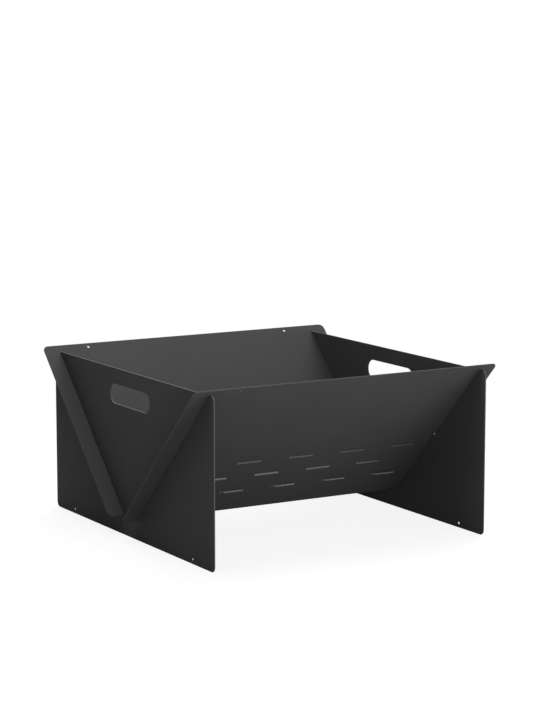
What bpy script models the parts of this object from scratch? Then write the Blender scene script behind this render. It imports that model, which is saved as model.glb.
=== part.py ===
"""Slot-together outdoor fireplace, laser cut from black powder-coated steel sheet.

Two upright end panels carry two long panels that lean outwards and meet them in half lap
joints, so the four plates hold each other with no screws.  A bed plate lies between the
long panels.  Its edges hold them apart and its tabs reach through their lowest row of vents,
so it carries the fire and locks the trough.

X runs along the trough, Y from the front to the back and Z up.  The origin is on the ground
below the middle.  Sizes are in metres.
"""

import math

import bmesh
import bpy
from mathutils import Matrix, Vector

# The sheet, and the gap that a laser-cut slot leaves on each side of it.
SHEET = 0.002
CUT_CLEARANCE = 0.0003

# Where the long panels stand: their lean, and the place of their lower edges.
LEAN_ANGLE = math.radians(45)
LOWER_EDGE_HEIGHT = 0.0353
LOWER_EDGE_GAP = 0.0486

# Outline of a long panel: its length, and its width up the slope.
LONG_PANEL_LENGTH = 0.600
LONG_PANEL_WIDTH = 0.376
OVERHANG = 0.030
CORNER_RADIUS = 0.010

# Outline of an end panel: its height, and the tip left outside a slot's mouth.
END_PANEL_HEIGHT = 0.292
TIP_WIDTH = 0.0172

# The half lap: how far up the slope it lies, and the play left between the two cuts.
LAP_REACH = 0.172
LAP_PLAY = 0.005

# Vents in a long panel, in rows with every other row staggered by half a pitch.
VENT_LENGTH = 0.050
VENT_PITCH = 0.105
VENT_MARGIN = 0.020
VENT_ROWS = 3
VENT_ROW_PITCH = 0.0445
LOWEST_VENT_REACH = 0.0595

# The bed plate's tabs in the lowest row of vents.
TAB_CLEARANCE = 0.00035
TAB_END_PLAY = 0.005
TAB_PROUD = 0.003
TAB_CORNER_RADIUS = 0.002
BED_END_PLAY = 0.002
BED_CORNER_RADIUS = 0.005

# Hand hole in an end panel.
HAND_HOLE_LENGTH = 0.150
HAND_HOLE_HEIGHT = 0.035
HAND_HOLE_DROP = 0.0455

# Small round holes: near the feet of an end panel, and near the top edge of a long panel.
FOOT_HOLE_DIAMETER = 0.005
FOOT_HOLE_INSET = 0.075
FOOT_HOLE_HEIGHT = 0.008
HANGING_HOLE_DIAMETER = 0.005
HANGING_HOLE_INSET = 0.090
HANGING_HOLE_DROP = 0.008

# Facets in a quarter turn of an arc.
QUARTER_FACETS = 8

# Worked out from the sizes above.
SLOT_HALF = SHEET / 2 + CUT_CLEARANCE
END_PANEL_X = LONG_PANEL_LENGTH / 2 - OVERHANG - SHEET / 2
INNER_HALF_LENGTH = END_PANEL_X - SHEET / 2
END_SLOT_FLOOR = LAP_REACH - LAP_PLAY / 2
NOTCH_ROOF = LAP_REACH + LAP_PLAY / 2
TAB_BITE = SHEET / math.sin(LEAN_ANGLE) + SHEET / math.tan(LEAN_ANGLE)
VENT_HEIGHT = TAB_BITE + 2 * TAB_CLEARANCE


def lean_point(reach, normal=0.0):
    """Y and Z on the rear long panel, reach up its slope and normal towards its upper face."""
    along = Vector((math.cos(LEAN_ANGLE), math.sin(LEAN_ANGLE)))
    upwards = Vector((-math.sin(LEAN_ANGLE), math.cos(LEAN_ANGLE)))
    lower_edge = Vector((LOWER_EDGE_GAP / 2, LOWER_EDGE_HEIGHT))
    return lower_edge + along * reach + upwards * normal


def reach_at(height, normal):
    """How far up the slope the rear long panel comes to a height."""
    rise = height - LOWER_EDGE_HEIGHT - normal * math.cos(LEAN_ANGLE)
    return rise / math.sin(LEAN_ANGLE)


BED_HALF_SPAN, BED_HEIGHT = lean_point(LOWEST_VENT_REACH)


def arc(centre, radius, start, turn):
    """Points round a centre from a start angle through a turn."""
    count = max(2, math.ceil(abs(turn) / (math.pi / 2) * QUARTER_FACETS))
    angles = [start + turn * step / count for step in range(count + 1)]
    return [centre + radius * Vector((math.cos(angle), math.sin(angle))) for angle in angles]


def rounded_corner(before, corner, after, radius):
    """The arc that takes a corner off, no longer than half of the shorter edge beside it."""
    back = before - corner
    onward = after - corner
    half_angle = back.angle(onward) / 2
    tangent = min(radius / math.tan(half_angle), back.length / 2, onward.length / 2)
    radius = tangent * math.tan(half_angle)
    bisector = (back.normalized() + onward.normalized()).normalized()
    centre = corner + bisector * radius / math.sin(half_angle)
    first = corner + back.normalized() * tangent - centre
    last = corner + onward.normalized() * tangent - centre
    start = math.atan2(first.y, first.x)
    turn = math.remainder(math.atan2(last.y, last.x) - start, 2 * math.pi)
    return arc(centre, radius, start, turn)


def outline(corners):
    """A closed outline from corners given as (point, radius), with 0 for a sharp one."""
    points = []
    for index, (corner, radius) in enumerate(corners):
        if radius == 0:
            points.append(corner)
            continue
        before = corners[index - 1][0]
        after = corners[(index + 1) % len(corners)][0]
        points.extend(rounded_corner(before, corner, after, radius))
    return points


def round_hole(centre, diameter):
    return arc(centre, diameter / 2, 0, 2 * math.pi)[:-1]


def slot_with_round_ends(centre, length, height):
    """A hole with two straight edges and two half round ends."""
    end_offset = Vector(((length - height) / 2, 0))
    right_end = arc(centre + end_offset, height / 2, -math.pi / 2, math.pi)
    left_end = arc(centre - end_offset, height / 2, math.pi / 2, math.pi)
    return right_end + left_end


def rectangle(centre, length, height):
    half = Vector((length / 2, height / 2))
    signs = ((-1, -1), (1, -1), (1, 1), (-1, 1))
    return [centre + Vector((half.x * x, half.y * y)) for x, y in signs]


def mirrored(corners):
    """The same corners on the other side of the vertical axis, in the order that closes a loop."""
    return [(Vector((-corner.x, corner.y)), radius) for corner, radius in reversed(corners)]


def end_panel_loops():
    """Upright panel in Y and Z: two leaning slots open at the top, a hand hole and foot holes."""
    outer_mouth = lean_point(reach_at(END_PANEL_HEIGHT, -SLOT_HALF), -SLOT_HALF)
    inner_mouth = lean_point(reach_at(END_PANEL_HEIGHT, SLOT_HALF), SLOT_HALF)
    half_depth = outer_mouth.x + TIP_WIDTH
    right_side = [
        (Vector((half_depth, 0)), CORNER_RADIUS),
        (Vector((half_depth, END_PANEL_HEIGHT)), CORNER_RADIUS),
        (outer_mouth, 0),
        (lean_point(END_SLOT_FLOOR, -SLOT_HALF), 0),
        (lean_point(END_SLOT_FLOOR, SLOT_HALF), 0),
        (inner_mouth, 0),
    ]
    hand_hole_centre = Vector((0, END_PANEL_HEIGHT - HAND_HOLE_DROP))
    loops = [
        outline(right_side + mirrored(right_side)),
        slot_with_round_ends(hand_hole_centre, HAND_HOLE_LENGTH, HAND_HOLE_HEIGHT),
    ]
    for side in (-1, 1):
        centre = Vector((side * (half_depth - FOOT_HOLE_INSET), FOOT_HOLE_HEIGHT))
        loops.append(round_hole(centre, FOOT_HOLE_DIAMETER))
    return loops


def vent_centres(row):
    """X of each vent in a row, counted up from the lowest; every other row has one fewer."""
    free_length = 2 * (INNER_HALF_LENGTH - VENT_MARGIN) - VENT_LENGTH
    full_count = int(free_length // VENT_PITCH) + 1
    count = full_count - row % 2
    return [(index - (count - 1) / 2) * VENT_PITCH for index in range(count)]


def long_panel_loops():
    """Leaning panel in X and up its slope: a notch near each end, vents and hanging holes."""
    half_length = LONG_PANEL_LENGTH / 2
    right_side = [
        (Vector((END_PANEL_X - SLOT_HALF, 0)), 0),
        (Vector((END_PANEL_X - SLOT_HALF, NOTCH_ROOF)), 0),
        (Vector((END_PANEL_X + SLOT_HALF, NOTCH_ROOF)), 0),
        (Vector((END_PANEL_X + SLOT_HALF, 0)), 0),
        (Vector((half_length, 0)), CORNER_RADIUS),
        (Vector((half_length, LONG_PANEL_WIDTH)), CORNER_RADIUS),
    ]
    loops = [outline(right_side + mirrored(right_side))]
    for row in range(VENT_ROWS):
        reach = LOWEST_VENT_REACH + row * VENT_ROW_PITCH
        for x in vent_centres(row):
            loops.append(rectangle(Vector((x, reach)), VENT_LENGTH, VENT_HEIGHT))
    for side in (-1, 1):
        x = side * (half_length - HANGING_HOLE_INSET)
        centre = Vector((x, LONG_PANEL_WIDTH - HANGING_HOLE_DROP))
        loops.append(round_hole(centre, HANGING_HOLE_DIAMETER))
    return loops


def bed_plate_loops():
    """Flat plate in X and Y that fits between the long panels, with a tab for each low vent."""
    half_length = INNER_HALF_LENGTH - BED_END_PLAY
    sheet_shadow = SHEET / 2 / math.tan(LEAN_ANGLE)
    panel_shadow = SHEET / 2 / math.sin(LEAN_ANGLE)
    seat_gap = CUT_CLEARANCE / math.sin(LEAN_ANGLE)
    half_width = BED_HALF_SPAN - sheet_shadow - panel_shadow - seat_gap
    tab_tip = BED_HALF_SPAN + sheet_shadow + panel_shadow + TAB_PROUD
    tab_half = VENT_LENGTH / 2 - TAB_END_PLAY
    front_edge = [(Vector((-half_length, -half_width)), BED_CORNER_RADIUS)]
    for x in vent_centres(0):
        front_edge.append((Vector((x - tab_half, -half_width)), 0))
        front_edge.append((Vector((x - tab_half, -tab_tip)), TAB_CORNER_RADIUS))
        front_edge.append((Vector((x + tab_half, -tab_tip)), TAB_CORNER_RADIUS))
        front_edge.append((Vector((x + tab_half, -half_width)), 0))
    front_edge.append((Vector((half_length, -half_width)), BED_CORNER_RADIUS))
    rear_edge = [(-corner, radius) for corner, radius in front_edge]
    return [outline(front_edge + rear_edge)]


def sheet_mesh(name, loops):
    """A closed mesh of one sheet thickness from an outline and its holes, drawn flat in X and Y."""
    curve = bpy.data.curves.new(name, "CURVE")
    curve.dimensions = "2D"
    curve.fill_mode = "BOTH"
    curve.extrude = SHEET / 2
    for loop in loops:
        spline = curve.splines.new("POLY")
        spline.points.add(len(loop) - 1)
        spline.use_cyclic_u = True
        for point, place in zip(spline.points, loop):
            point.co = (place.x, place.y, 0, 1)
    drawing = bpy.data.objects.new(name + "_drawing", curve)
    bpy.context.scene.collection.objects.link(drawing)
    depsgraph = bpy.context.evaluated_depsgraph_get()
    mesh = bpy.data.meshes.new_from_object(drawing.evaluated_get(depsgraph))
    bpy.data.objects.remove(drawing)
    bpy.data.curves.remove(curve)
    weld_caps(mesh)
    mesh.name = name
    return mesh


def weld_caps(mesh):
    """Join the caps of a filled curve to its sides, and point every face outwards."""
    cage = bmesh.new()
    cage.from_mesh(mesh)
    bmesh.ops.remove_doubles(cage, verts=cage.verts, dist=0.00001)
    bmesh.ops.recalc_face_normals(cage, faces=cage.faces)
    cage.to_mesh(mesh)
    cage.free()
    mesh.shade_smooth()
    mesh.set_sharp_from_angle(angle=math.radians(30))


def powder_coating(name, grey):
    """Matt black powder coating on steel; grey is its linear colour."""
    material = bpy.data.materials.new(name)
    material.use_nodes = True
    shader = material.node_tree.nodes["Principled BSDF"]
    shader.inputs["Base Color"].default_value = (grey, grey, grey, 1)
    shader.inputs["Metallic"].default_value = 0.0
    shader.inputs["Roughness"].default_value = 0.6
    return material


def place_sheet(collection, name, mesh, material, matrix):
    piece = bpy.data.objects.new(name, mesh)
    piece.matrix_world = matrix
    piece.data.materials.clear()
    piece.data.materials.append(material)
    collection.objects.link(piece)
    return piece


def end_panels(collection):
    """Both end panels, drawn in Y and Z and stood upright."""
    mesh = sheet_mesh("end_panel", end_panel_loops())
    material = powder_coating("end_panel_coating", 0.040)
    upright = Matrix(((0, 0, 1), (1, 0, 0), (0, 1, 0))).to_4x4()
    for name, side in (("left_end_panel", -1), ("right_end_panel", 1)):
        place = Matrix.Translation((side * END_PANEL_X, 0, 0))
        place_sheet(collection, name, mesh, material, place @ upright)


def long_panels(collection):
    """The rear long panel, and the same panel turned half round for the front."""
    mesh = sheet_mesh("long_panel", long_panel_loops())
    material = powder_coating("long_panel_coating", 0.040)
    lower_edge = lean_point(0)
    place = Matrix.Translation((0, lower_edge.x, lower_edge.y))
    leaning = place @ Matrix.Rotation(LEAN_ANGLE, 4, "X")
    half_turn = Matrix.Rotation(math.pi, 4, "Z")
    place_sheet(collection, "rear_panel", mesh, material, leaning)
    place_sheet(collection, "front_panel", mesh, material, half_turn @ leaning)


def bed_plate(collection):
    mesh = sheet_mesh("bed_plate", bed_plate_loops())
    material = powder_coating("bed_plate_coating", 0.040)
    place = Matrix.Translation((0, 0, BED_HEIGHT))
    place_sheet(collection, "bed_plate", mesh, material, place)


def clear_scene():
    for item in list(bpy.data.objects):
        bpy.data.objects.remove(item)


def main():
    clear_scene()
    collection = bpy.data.collections.new("outdoor_fireplace")
    bpy.context.scene.collection.children.link(collection)
    end_panels(collection)
    long_panels(collection)
    bed_plate(collection)


main()
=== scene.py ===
"""Looks of a slot-together outdoor fireplace, laid out as a Blender add-on.

Five plates of black powder-coated steel sheet stand in a plain white studio.  Each plate is
worked out again from the cuts of its CAD node, with the edges and the finish of the real one.
Sizes are in metres, in the frame of the CAD model.
"""

import math

import bpy
import numpy as np
from mathutils import Euler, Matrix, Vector
from mathutils.geometry import delaunay_2d_cdt


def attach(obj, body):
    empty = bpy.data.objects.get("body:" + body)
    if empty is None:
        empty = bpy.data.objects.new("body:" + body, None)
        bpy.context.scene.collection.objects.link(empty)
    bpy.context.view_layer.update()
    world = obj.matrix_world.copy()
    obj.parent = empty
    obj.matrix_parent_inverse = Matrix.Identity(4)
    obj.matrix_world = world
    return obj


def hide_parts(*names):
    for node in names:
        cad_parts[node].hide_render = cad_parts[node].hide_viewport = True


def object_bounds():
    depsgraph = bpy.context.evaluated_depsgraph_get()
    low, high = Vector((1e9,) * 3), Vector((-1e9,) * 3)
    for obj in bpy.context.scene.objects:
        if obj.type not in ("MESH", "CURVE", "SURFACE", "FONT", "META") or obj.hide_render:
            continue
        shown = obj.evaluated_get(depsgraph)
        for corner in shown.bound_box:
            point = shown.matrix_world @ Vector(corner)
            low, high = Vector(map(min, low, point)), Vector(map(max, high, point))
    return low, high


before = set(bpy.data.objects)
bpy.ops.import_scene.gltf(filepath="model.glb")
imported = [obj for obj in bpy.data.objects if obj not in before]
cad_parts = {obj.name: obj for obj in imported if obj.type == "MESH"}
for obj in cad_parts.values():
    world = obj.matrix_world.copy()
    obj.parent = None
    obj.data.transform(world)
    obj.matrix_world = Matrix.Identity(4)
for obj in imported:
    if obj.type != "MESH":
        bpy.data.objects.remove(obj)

CAD_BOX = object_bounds()

bl_info = {
    "name": "Outdoor Fireplace",
    "version": (1, 0, 0),
    "blender": (4, 5, 0),
    "location": "3D View > Sidebar > Fireplace",
    "description": "Builds the powder-coated plates of a slot-together fireplace",
    "category": "Object",
}

# Softboxes that face the fireplace: degrees from the front towards the right, degrees above
# the ground, distance, width and height in metres, and brightness, where a white wall is 1.
SOFTBOXES = {
    "low_right_softbox": (25, 6, 1.6, 1.2, 0.4, 8.1),
    "low_left_softbox": (-20, 8, 1.6, 0.6, 0.6, 7.2),
    "high_left_softbox": (-60, 60, 1.0, 0.4, 0.4, 12.2),
    "high_rear_softbox": (135, 55, 3.0, 2.66, 2.66, 10.2),
}

# The photograph's view: focal length and sensor width in millimetres, place, and turn in
# degrees.
CAMERA_LENS = 114.75
CAMERA_SENSOR = 36
CAMERA_PLACE = (-2.040745, -3.496789, 0.913949)
CAMERA_TURN = (81.27064, 0, -30.40795)

# The floor's shadow is whole up to the first distance from the middle, and gone at the second.
SHADOW_REACH = (0.5, 1.3)
# Gap under the feet, which keeps the floor's surface apart from theirs.
FLOOR_GAP = 0.0002
WHITE = (1, 1, 1, 1)
PAINTED_WHITE = (0.9, 0.9, 0.9, 1)

# Decimals that CAD points are rounded to, so that points a micrometre apart are one.
POINT_DECIMALS = 6
# A triangle is part of the broad face where the cosine between their normals is above this.
FLAT_COSINE = 0.99
# A cut has a sharp corner where it turns by more than this.
SHARP_TURN = math.radians(30)
# The triangulation's setting for the inside of its edges only, and how near it joins points,
# in millimetres.
INSIDE_ONLY = 1
JOIN_DISTANCE = 1e-6

# Range that nearly all of a noise texture's values lie in.
NOISE_RANGE = (0.3, 0.7)


def linear(hex_colour):
    """Linear red, green, blue and alpha of an sRGB hex colour such as #383838."""
    srgb = np.array([int(hex_colour[place:place + 2], 16) for place in (1, 3, 5)]) / 255
    shares = np.where(srgb <= 0.04045, srgb / 12.92, ((srgb + 0.055) / 1.055) ** 2.4)
    return (*shares.tolist(), 1.0)


class FireplaceEdges(bpy.types.PropertyGroup):
    """Sizes of the finished cuts."""

    edge_radius: bpy.props.FloatProperty(
        name="Edge radius",
        description="Rounding of the sheet's cut edges under the coating",
        default=0.00035, min=0.0001, max=0.0009, precision=5, unit="LENGTH",
    )
    corner_radius: bpy.props.FloatProperty(
        name="Corner radius",
        description="Radius that the laser beam leaves in a sharp corner of a cut",
        default=0.0005, min=0.0002, max=0.001, precision=5, unit="LENGTH",
    )
    edge_steps: bpy.props.IntProperty(
        name="Edge steps",
        description="Facets across each rounded edge",
        default=3, min=1, max=8,
    )
    corner_steps: bpy.props.IntProperty(
        name="Corner steps",
        description="Facets round each sharp corner of a cut",
        default=4, min=2, max=12,
    )


class FireplaceCoating(bpy.types.PropertyGroup):
    """Colours and grain of the powder coating, with painted light on the edges and the bed plate.
    """

    face_colour: bpy.props.FloatVectorProperty(
        name="Face colour",
        description="Colour of the coating on the broad faces",
        default=linear("#383838"), size=4, min=0, max=1, subtype="COLOR",
    )
    # The end edges' paler colour is partly the thinner coat on the cut edges and partly a painted
    # highlight, the light that the rounded edges catch, not wear.
    end_edge_coat_and_painted_highlight: bpy.props.FloatVectorProperty(
        name="End edge colour",
        description="Colour of the end panels' cut edges, which hands and the ground rub paler",
        default=linear("#4E4E4E"), size=4, min=0, max=1, subtype="COLOR",
    )
    # The long edges' paler colour is partly the thinner coat on the cut edges and partly a painted
    # highlight, the light that the rounded edges catch.
    long_edge_coat_and_painted_highlight: bpy.props.FloatVectorProperty(
        name="Long edge colour",
        description="Colour of the long panels' cut edges, where the coating is thin but unworn",
        default=linear("#404040"), size=4, min=0, max=1, subtype="COLOR",
    )
    # Painted light: the bed plate has the same black coating as the other plates, drawn paler for
    # the light that falls on its top.
    bed_colour_with_painted_light: bpy.props.FloatVectorProperty(
        name="Bed colour",
        description="Colour of the bed plate's coating, which looks paler through the vents",
        default=linear("#464646"), size=4, min=0, max=1, subtype="COLOR",
    )
    # The bed plate's edges and the tabs' ends are drawn pale partly for the thinner coat and
    # partly as a painted highlight, the light that the tabs' ends catch, not wear.
    bed_edge_coat_and_painted_highlight: bpy.props.FloatVectorProperty(
        name="Bed edge colour",
        description="Colour of the tabs' ends, rubbed pale as they are pushed through the vents",
        default=linear("#727272"), size=4, min=0, max=1, subtype="COLOR",
    )
    face_roughness: bpy.props.FloatProperty(
        name="Face roughness",
        description="Roughness of the coating on the broad faces",
        default=0.62, min=0, max=1, subtype="FACTOR",
    )
    edge_roughness: bpy.props.FloatProperty(
        name="Edge roughness",
        description="Roughness of the coating on the cut edges, where it flows out smoother",
        default=0.5, min=0, max=1, subtype="FACTOR",
    )
    specular: bpy.props.FloatProperty(
        name="Specular level",
        description="Strength of the coating's reflections; a dead matt coating has next to none",
        default=0.015, min=0, max=1, subtype="FACTOR",
    )
    cloud_size: bpy.props.FloatProperty(
        name="Cloud size",
        description="Width of the clouds that the spray passes leave",
        default=0.11, min=0.01, precision=3, unit="LENGTH",
    )
    cloud_depth: bpy.props.FloatProperty(
        name="Cloud depth",
        description="Share by which the clouds make the colour darker or paler",
        default=0.03, min=0, max=0.5, subtype="FACTOR",
    )
    grain_size: bpy.props.FloatProperty(
        name="Grain size",
        description="Width of the powder's grain as drawn; the real one is about 0.4 mm",
        default=0.0025, min=0.0001, precision=5, unit="LENGTH",
    )
    grain_height: bpy.props.FloatProperty(
        name="Grain height",
        description="Height of the powder's grain as drawn",
        default=0.00008, min=0, precision=6, unit="LENGTH",
    )
    grain_depth: bpy.props.FloatProperty(
        name="Grain depth",
        description="Share by which the grain makes the broad faces darker or paler",
        default=0.05, min=0, max=0.5, subtype="FACTOR",
    )
    striation_size: bpy.props.FloatProperty(
        name="Striation size",
        description="Width of the beam's striations as drawn; the real ones are about 0.3 mm",
        default=0.0025, min=0.0001, precision=5, unit="LENGTH",
    )
    striation_depth: bpy.props.FloatProperty(
        name="Striation depth",
        description="Share by which the striations make the cut edges darker or paler",
        default=0.12, min=0, max=0.5, subtype="FACTOR",
    )


class FireplaceStudio(bpy.types.PropertyGroup):
    """Sizes and light levels of the studio."""

    softbox_level: bpy.props.FloatProperty(
        name="Softbox level",
        description="Brightness of all softboxes, where 1 shows the coating's colour as written",
        default=1.0, min=0,
    )
    wall_light: bpy.props.FloatProperty(
        name="Wall light",
        description="Light from the studio's walls and ceiling, where 1 is a white wall",
        default=0.1, min=0,
    )
    floor_colour: bpy.props.FloatVectorProperty(
        name="Floor colour",
        description="Colour of the floor as it throws light back onto the fireplace",
        default=linear("#CBCBCB"), size=4, min=0, max=1, subtype="COLOR",
    )
    shadow_share: bpy.props.FloatProperty(
        name="Shadow share",
        description="How much of the floor's white is lit by the lamps, so that it shows shadow",
        default=0.12, min=0, max=1, subtype="FACTOR",
    )
    floor_size: bpy.props.FloatProperty(
        name="Floor size",
        description="Length of the floor's sides",
        default=60.0, min=1, unit="LENGTH",
    )


def read_sheet(node):
    """The cuts of a CAD sheet, as closed paths in the plane of its broad face.

    The broad face is the one with the node's largest triangle.  An edge that only one of that
    face's triangles uses lies on a cut, and each path runs with the metal on its left.
    """
    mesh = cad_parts[node].data
    corners = np.empty(3 * len(mesh.vertices))
    mesh.vertices.foreach_get("co", corners)
    used = np.empty(len(mesh.loops), dtype=np.int64)
    mesh.loops.foreach_get("vertex_index", used)
    rounded = corners.reshape(-1, 3).round(POINT_DECIMALS)
    points, merged = np.unique(rounded, axis=0, return_inverse=True)
    triangles = merged.ravel()[used].reshape(-1, 3)
    first, second, third = points[triangles].transpose(1, 0, 2)
    crossed = np.cross(second - first, third - first)
    areas = np.linalg.norm(crossed, axis=1)
    normal = crossed[areas.argmax()] / areas.max()
    broad = triangles[crossed @ normal > FLAT_COSINE * areas]
    starts = broad.ravel()
    ends = np.roll(broad, -1, axis=1).ravel()
    on_a_cut = ~np.isin(starts * len(points) + ends, ends * len(points) + starts)
    starts, ends = starts[on_a_cut], ends[on_a_cut]
    order = np.argsort(starts)
    along = np.eye(3)[np.abs(normal).argmin()]
    plane = np.stack((along, np.cross(normal, along)))
    heights = points @ normal
    return {
        "path": points[starts[order]] @ plane.T,
        "onward": np.searchsorted(starts[order], ends[order]),
        "plane": plane,
        "normal": normal,
        "middle": (heights.max() + heights.min()) / 2,
        "thickness": heights.max() - heights.min(),
    }


def soften_corners(path, onward, radius, steps):
    """Paths with each sharp corner turned into an arc, and the normals towards the metal.

    Where the normal turns from m to n, the arc is corner + side * radius * (reach - normal),
    with reach = (m + n) / (1 + m.n), side the sign of the turn, and a normal that turns
    evenly from m to n.  Elsewhere a point stays, and its normal is the mean of its two edges'
    normals, each weighted by the edge's length.
    """
    count = len(path)
    edges = path[onward] - path
    lengths = np.linalg.norm(edges, axis=1)[:, None]
    leaving = np.stack((-edges[:, 1], edges[:, 0]), axis=1) / lengths
    before = np.empty(count, dtype=np.int64)
    before[onward] = np.arange(count)
    arriving = leaving[before]
    cosine = (arriving * leaving).sum(axis=1)
    sine = arriving[:, 0] * leaving[:, 1] - arriving[:, 1] * leaving[:, 0]
    turn = np.arctan2(sine, cosine)
    sharp = np.abs(turn) > SHARP_TURN
    weighted = arriving * lengths[before] + leaving * lengths
    start = np.where(sharp[:, None], arriving, weighted)
    counts = np.where(sharp, steps + 1, 1)
    firsts = np.cumsum(counts) - counts
    corner = np.repeat(np.arange(count), counts)
    step = np.arange(len(corner)) - firsts[corner]
    angle = np.arctan2(start[:, 1], start[:, 0])[corner] + turn[corner] * step / steps
    normals = np.stack((np.cos(angle), np.sin(angle)), axis=1)
    reach = (arriving + leaving) / (1 + cosine)[:, None]
    side = np.where(sharp, np.sign(turn), 0)[corner][:, None]
    places = path[corner] + side * radius * (reach[corner] - normals)
    last = step == counts[corner] - 1
    following = np.where(last, firsts[onward[corner]], np.arange(len(corner)) + 1)
    return places, normals, following


def edge_profile(thickness, radius, steps):
    """Inset, height and turn of a cut edge's profile, from one broad face round to the other.

    A quarter turn, the straight cut and another quarter turn: at a turn a, the inset is
    radius * (1 - sin a), and the height is half of the straight cut + radius * cos a.
    """
    quarter = np.linspace(0, math.pi / 2, steps + 1)
    turn = np.concatenate((quarter, quarter + math.pi / 2))
    straight = np.repeat((1, -1), steps + 1) * (thickness / 2 - radius)
    return radius * (1 - np.sin(turn)), straight + radius * np.cos(turn), turn


def face_triangles(rim, onward):
    """Triangles of the metal inside closed paths, as rows of three indices.

    A triangle is metal where the paths wind round its centre: there the angles that their
    edges span, seen from the centre, add up to a full turn and not to nothing.
    """
    edges = np.stack((np.arange(len(rim)), onward), axis=1)
    in_millimetres = (rim * 1000).tolist()
    filled = delaunay_2d_cdt(in_millimetres, edges.tolist(), [], INSIDE_ONLY, JOIN_DISTANCE)
    origins = np.array([sources[0] for sources in filled[3]])
    triangles = origins[np.array(filled[2])]
    spokes = rim - rim[triangles].mean(axis=1)[:, None]
    ahead = spokes[:, onward]
    sine = spokes[..., 0] * ahead[..., 1] - spokes[..., 1] * ahead[..., 0]
    spanned = np.arctan2(sine, (spokes * ahead).sum(axis=-1)).sum(axis=1)
    return triangles[spanned > math.pi]


def sheet_surface(node, edges):
    """Vertices, normals, edge shares, cut places and faces of a finished sheet.

    The edge's profile is carried along the cuts: u runs along the paths and v round the
    profile, so a point is path(u) + metal(u) * inset(v) + normal * height(v).  Its normal is
    normal * cos(turn) - metal * sin(turn).  Flat faces close both sides.
    """
    sheet = read_sheet(node)
    places, metal, onward = soften_corners(
        sheet["path"], sheet["onward"], edges.corner_radius, edges.corner_steps
    )
    inset, height, turn = edge_profile(sheet["thickness"], edges.edge_radius, edges.edge_steps)
    across = places[:, None] + metal[:, None] * inset[:, None]
    rise = (sheet["middle"] + height)[:, None] * sheet["normal"]
    points = across @ sheet["plane"] + rise
    outward = (metal @ sheet["plane"])[:, None] * -np.sin(turn)[:, None]
    normals = outward + np.cos(turn)[:, None] * sheet["normal"]
    share = np.broadcast_to(np.sin(turn), points.shape[:2])
    cut_place = np.broadcast_to((places @ sheet["plane"])[:, None], points.shape)
    index = np.arange(share.size).reshape(share.shape)
    ahead = index[onward]
    band = np.stack((index[:, :-1], index[:, 1:], ahead[:, 1:], ahead[:, :-1]), axis=-1)
    filling = face_triangles(across[:, 0], onward)
    faces = [*band.reshape(-1, 4).tolist(), *index[filling, 0].tolist()]
    faces += index[filling[:, ::-1], -1].tolist()
    flat = (points.reshape(-1, 3), normals.reshape(-1, 3), share.ravel(), cut_place.ravel())
    return *flat, faces


def make_sheet(name, node, body, material):
    """One finished sheet, which stands for its CAD node and moves with its body."""
    edges = bpy.context.scene.fireplace_edges
    points, normals, share, cut_place, faces = sheet_surface(node, edges)
    mesh = bpy.data.meshes.new(name)
    mesh.from_pydata(points, [], faces)
    shares = mesh.attributes.new("edge_share", "FLOAT", "POINT")
    shares.data.foreach_set("value", share)
    cut_places = mesh.attributes.new("cut_place", "FLOAT_VECTOR", "POINT")
    cut_places.data.foreach_set("vector", cut_place)
    mesh.shade_smooth()
    mesh.normals_split_custom_set_from_vertices(normals)
    mesh.materials.append(material)
    piece = bpy.data.objects.new(name, mesh)
    bpy.context.scene.collection.objects.link(piece)
    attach(piece, body)
    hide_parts(node)


def add_node(tree, kind, inputs=None, **settings):
    """Add a node with its settings; an input is a constant or another node's output."""
    node = tree.nodes.new(kind)
    for name, value in settings.items():
        setattr(node, name, value)
    for name, value in (inputs or {}).items():
        if isinstance(value, bpy.types.NodeSocket):
            tree.links.new(value, node.inputs[name])
        else:
            node.inputs[name].default_value = value
    return node


def shaded(tree, colour, pattern, depth):
    """A colour made darker and paler by a noise pattern, by the share depth at most."""
    lowest, highest = NOISE_RANGE
    factor = add_node(
        tree, "ShaderNodeMapRange",
        {
            "Value": pattern, "From Min": lowest, "From Max": highest,
            "To Min": 1 - depth, "To Max": 1 + depth,
        },
    )
    product = add_node(
        tree, "ShaderNodeVectorMath", {0: colour, 1: factor.outputs["Result"]},
        operation="MULTIPLY",
    )
    return product.outputs["Vector"]


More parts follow.
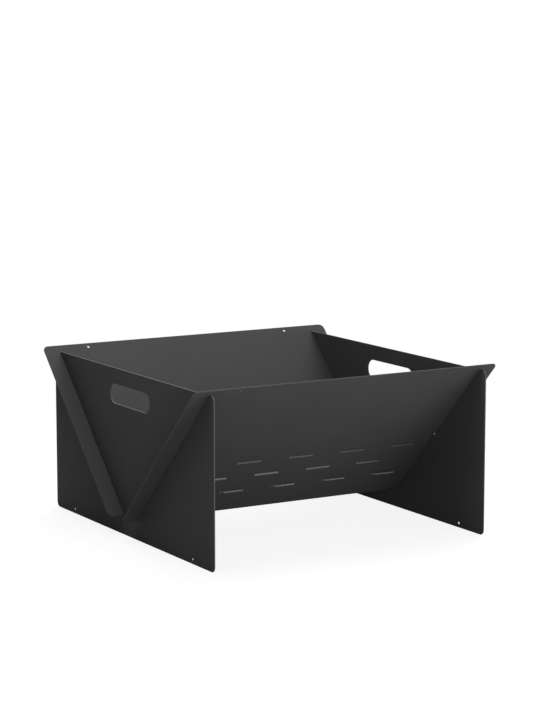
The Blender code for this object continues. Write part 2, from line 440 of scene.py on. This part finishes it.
def powder_coated_steel(face_colour, edge_coat_and_painted_highlight):
    """Steel sheet, cut by laser, then powder coated matt black and baked.

    The powder melts into an even skin, so the broad faces look plain and velvety, with a fine
    grain and with spray clouds that hardly show.  It draws back from the cut edges, where it is
    thinner and a little smoother, and where the beam's striations show through it.  The edges'
    paler colour is partly that thinner coat and partly a painted highlight, the light that the
    rounded edges catch.
    """
    coating = bpy.context.scene.fireplace_coating
    material = bpy.data.materials.new("powder_coated_steel")
    material.use_nodes = True
    tree = material.node_tree
    shader = tree.nodes["Principled BSDF"]
    place = add_node(tree, "ShaderNodeTexCoord").outputs["Object"]
    clouds = add_node(
        tree, "ShaderNodeTexNoise", {"Vector": place, "Scale": 1 / coating.cloud_size, "Detail": 2}
    )
    # The real grain is about 0.4 mm wide, too fine to show, so it is drawn coarser.  It mottles
    # the broad faces a little and breaks up their sheen.
    grain = add_node(
        tree, "ShaderNodeTexNoise", {"Vector": place, "Scale": 1 / coating.grain_size, "Detail": 1}
    )
    # Striations run straight across the edge, because a cut's place is the same all through
    # the sheet.  The real ones are about 0.3 mm apart and are drawn coarser as well.
    cut_place = add_node(tree, "ShaderNodeAttribute", attribute_name="cut_place")
    striations = add_node(
        tree, "ShaderNodeTexNoise",
        {"Vector": cut_place.outputs["Vector"], "Scale": 1 / coating.striation_size, "Detail": 1},
    )
    edge_share = add_node(tree, "ShaderNodeAttribute", attribute_name="edge_share").outputs["Fac"]
    # The edge colour is partly the thinner coat and partly a painted highlight on the rounded cut
    # edges.  For the bed plate, the face colour is painted light as well.
    clouded = shaded(tree, face_colour[:3], clouds.outputs["Fac"], coating.cloud_depth)
    face = shaded(tree, clouded, grain.outputs["Fac"], coating.grain_depth)
    edge = shaded(tree, edge_coat_and_painted_highlight[:3], striations.outputs["Fac"], coating.striation_depth)
    colour = add_node(
        tree, "ShaderNodeMix", {"Factor": edge_share, "A": face, "B": edge}, data_type="RGBA"
    )
    roughness = add_node(
        tree, "ShaderNodeMix",
        {"Factor": edge_share, "A": coating.face_roughness, "B": coating.edge_roughness},
    )
    bump = add_node(
        tree, "ShaderNodeBump", {"Height": grain.outputs["Fac"], "Distance": coating.grain_height}
    )
    tree.links.new(colour.outputs["Result"], shader.inputs["Base Color"])
    tree.links.new(roughness.outputs["Result"], shader.inputs["Roughness"])
    tree.links.new(bump.outputs["Normal"], shader.inputs["Normal"])
    shader.inputs["Specular IOR Level"].default_value = coating.specular
    return material


def seen_share(tree):
    """1 for the rays that show a surface: the camera's own, mirrored and through glass."""
    ray = add_node(tree, "ShaderNodeLightPath").outputs
    mirrored = add_node(
        tree, "ShaderNodeMath", {0: ray["Is Camera Ray"], 1: ray["Is Glossy Ray"]},
        operation="MAXIMUM",
    )
    through = add_node(
        tree, "ShaderNodeMath", {0: mirrored.outputs[0], 1: ray["Is Transmission Ray"]},
        operation="MAXIMUM",
    )
    return through.outputs[0]


def studio_walls():
    """World that looks plain white and gives the walls' weak light."""
    studio = bpy.context.scene.fireplace_studio
    world = bpy.data.worlds.new("studio_walls")
    world.use_nodes = True
    tree = world.node_tree
    strength = add_node(
        tree, "ShaderNodeMix", {"Factor": seen_share(tree), "A": studio.wall_light, "B": 1.0}
    )
    background = tree.nodes["Background"]
    background.inputs["Color"].default_value = WHITE
    tree.links.new(strength.outputs["Result"], background.inputs["Strength"])
    return world


def painted_floor():
    """Studio floor, painted matt white: plain white to look at, with a soft shadow on it.

    The shadow fades out away from the fireplace, so the far floor is even.  The floor throws
    back less light than it shows, and it is clear from below.
    """
    studio = bpy.context.scene.fireplace_studio
    material = bpy.data.materials.new("painted_floor")
    material.use_nodes = True
    tree = material.node_tree
    tree.nodes.remove(tree.nodes["Principled BSDF"])
    white = add_node(tree, "ShaderNodeEmission", {"Color": WHITE})
    lit = add_node(tree, "ShaderNodeBsdfDiffuse", {"Color": PAINTED_WHITE})
    place = add_node(tree, "ShaderNodeTexCoord").outputs["Object"]
    away = add_node(tree, "ShaderNodeVectorMath", {0: place}, operation="LENGTH").outputs["Value"]
    whole, gone = SHADOW_REACH
    share = add_node(
        tree, "ShaderNodeMapRange",
        {
            "Value": away, "From Min": whole, "From Max": gone,
            "To Min": studio.shadow_share, "To Max": 0.0,
        },
        interpolation_type="SMOOTHSTEP",
    )
    shown = add_node(
        tree, "ShaderNodeMixShader",
        {0: share.outputs["Result"], 1: white.outputs[0], 2: lit.outputs[0]},
    )
    bounced = add_node(tree, "ShaderNodeBsdfDiffuse", {"Color": studio.floor_colour})
    floor = add_node(
        tree, "ShaderNodeMixShader",
        {0: seen_share(tree), 1: bounced.outputs[0], 2: shown.outputs[0]},
    )
    below = add_node(tree, "ShaderNodeNewGeometry").outputs["Backfacing"]
    clear = add_node(tree, "ShaderNodeBsdfTransparent")
    both = add_node(
        tree, "ShaderNodeMixShader", {0: below, 1: floor.outputs[0], 2: clear.outputs[0]}
    )
    tree.links.new(both.outputs[0], tree.nodes["Material Output"].inputs["Surface"])
    return material


def lay_floor():
    """One square under the feet, a hair below them."""
    reach = bpy.context.scene.fireplace_studio.floor_size / 2
    corners = np.array([(-1, -1, 0), (1, -1, 0), (1, 1, 0), (-1, 1, 0)]) * reach
    corners[:, 2] = -FLOOR_GAP
    mesh = bpy.data.meshes.new("floor")
    mesh.from_pydata(corners, [], [(0, 1, 2, 3)])
    mesh.materials.append(painted_floor())
    floor = bpy.data.objects.new("floor", mesh)
    bpy.context.scene.collection.objects.link(floor)


def hang_softboxes():
    """Rectangular softboxes that face the middle of the fireplace.

    Azimuth a and elevation e put one at distance * (sin a cos e, -cos a cos e, sin e) from the
    middle.  An area of even brightness b gives off pi * b * width * height.
    """
    scene = bpy.context.scene
    middle = Vector(CAD_BOX[0]).lerp(Vector(CAD_BOX[1]), 0.5)
    for name, (azimuth, elevation, distance, width, height, brightness) in SOFTBOXES.items():
        lamp = bpy.data.lights.new(name, "AREA")
        lamp.shape = "RECTANGLE"
        lamp.size = width
        lamp.size_y = height
        level = brightness * scene.fireplace_studio.softbox_level
        lamp.energy = math.pi * level * width * height
        turn = Euler((math.radians(90 - elevation), 0, math.radians(azimuth)))
        softbox = bpy.data.objects.new(name, lamp)
        softbox.location = middle + turn.to_matrix() @ Vector((0, 0, distance))
        softbox.rotation_euler = turn
        softbox.visible_camera = False
        scene.collection.objects.link(softbox)


def stand_camera():
    """Camera at the photograph's viewing angle, without lens shift."""
    scene = bpy.context.scene
    optics = bpy.data.cameras.new("camera")
    optics.lens = CAMERA_LENS
    optics.sensor_width = CAMERA_SENSOR
    camera = bpy.data.objects.new("camera", optics)
    camera.location = CAMERA_PLACE
    camera.rotation_euler = [math.radians(degrees) for degrees in CAMERA_TURN]
    scene.collection.objects.link(camera)
    scene.camera = camera


class FIREPLACE_OT_end_panels(bpy.types.Operator):
    """Build the two upright end panels"""

    bl_idname = "fireplace.end_panels"
    bl_label = "End panels"

    def execute(self, context):
        coating = context.scene.fireplace_coating
        material = powder_coated_steel(coating.face_colour, coating.end_edge_coat_and_painted_highlight)
        for side in ("left", "right"):
            node = side + "_end_panel"
            make_sheet(side + "_end_sheet", node, "end_panels", material)
        return {"FINISHED"}


class FIREPLACE_OT_long_panels(bpy.types.Operator):
    """Build the two long panels that lean outwards"""

    bl_idname = "fireplace.long_panels"
    bl_label = "Long panels"

    def execute(self, context):
        coating = context.scene.fireplace_coating
        material = powder_coated_steel(coating.face_colour, coating.long_edge_coat_and_painted_highlight)
        for side in ("front", "rear"):
            body = side + "_wall"
            make_sheet(side + "_sheet", side + "_panel", body, material)
        return {"FINISHED"}


class FIREPLACE_OT_bed_plate(bpy.types.Operator):
    """Build the bed plate that carries the fire"""

    bl_idname = "fireplace.bed_plate"
    bl_label = "Bed plate"

    def execute(self, context):
        coating = context.scene.fireplace_coating
        # The bed plate's colours hold painted light: a paler face for the light on its top and a
        # painted highlight on its edges.
        material = powder_coated_steel(coating.bed_colour_with_painted_light, coating.bed_edge_coat_and_painted_highlight)
        make_sheet("bed_sheet", "bed_plate", "fire_bed", material)
        return {"FINISHED"}


class FIREPLACE_OT_studio(bpy.types.Operator):
    """Set up the floor, the lights and the camera"""

    bl_idname = "fireplace.studio"
    bl_label = "Studio"

    def execute(self, context):
        scene = context.scene
        scene.view_settings.view_transform = "Standard"
        scene.world = studio_walls()
        lay_floor()
        hang_softboxes()
        stand_camera()
        return {"FINISHED"}


class FIREPLACE_PT_sidebar(bpy.types.Panel):
    """Buttons for the pieces and the studio"""

    bl_idname = "FIREPLACE_PT_sidebar"
    bl_label = "Outdoor Fireplace"
    bl_space_type = "VIEW_3D"
    bl_region_type = "UI"
    bl_category = "Fireplace"

    def draw(self, context):
        for operator in OPERATORS:
            self.layout.operator(operator.bl_idname)


GROUPS = {
    "fireplace_edges": FireplaceEdges,
    "fireplace_coating": FireplaceCoating,
    "fireplace_studio": FireplaceStudio,
}
OPERATORS = (
    FIREPLACE_OT_end_panels,
    FIREPLACE_OT_long_panels,
    FIREPLACE_OT_bed_plate,
    FIREPLACE_OT_studio,
)


def register():
    """Make the classes known to Blender and give each scene its settings."""
    for cls in (*GROUPS.values(), *OPERATORS, FIREPLACE_PT_sidebar):
        bpy.utils.register_class(cls)
    for name, group in GROUPS.items():
        setattr(bpy.types.Scene, name, bpy.props.PointerProperty(type=group))


def unregister():
    """Take the settings and the classes away again."""
    for name in GROUPS:
        delattr(bpy.types.Scene, name)
    for cls in (FIREPLACE_PT_sidebar, *reversed(OPERATORS), *GROUPS.values()):
        bpy.utils.unregister_class(cls)


def main():
    register()
    bpy.ops.fireplace.end_panels()
    bpy.ops.fireplace.long_panels()
    bpy.ops.fireplace.bed_plate()
    bpy.ops.fireplace.studio()


if __name__ == "__main__":
    main()
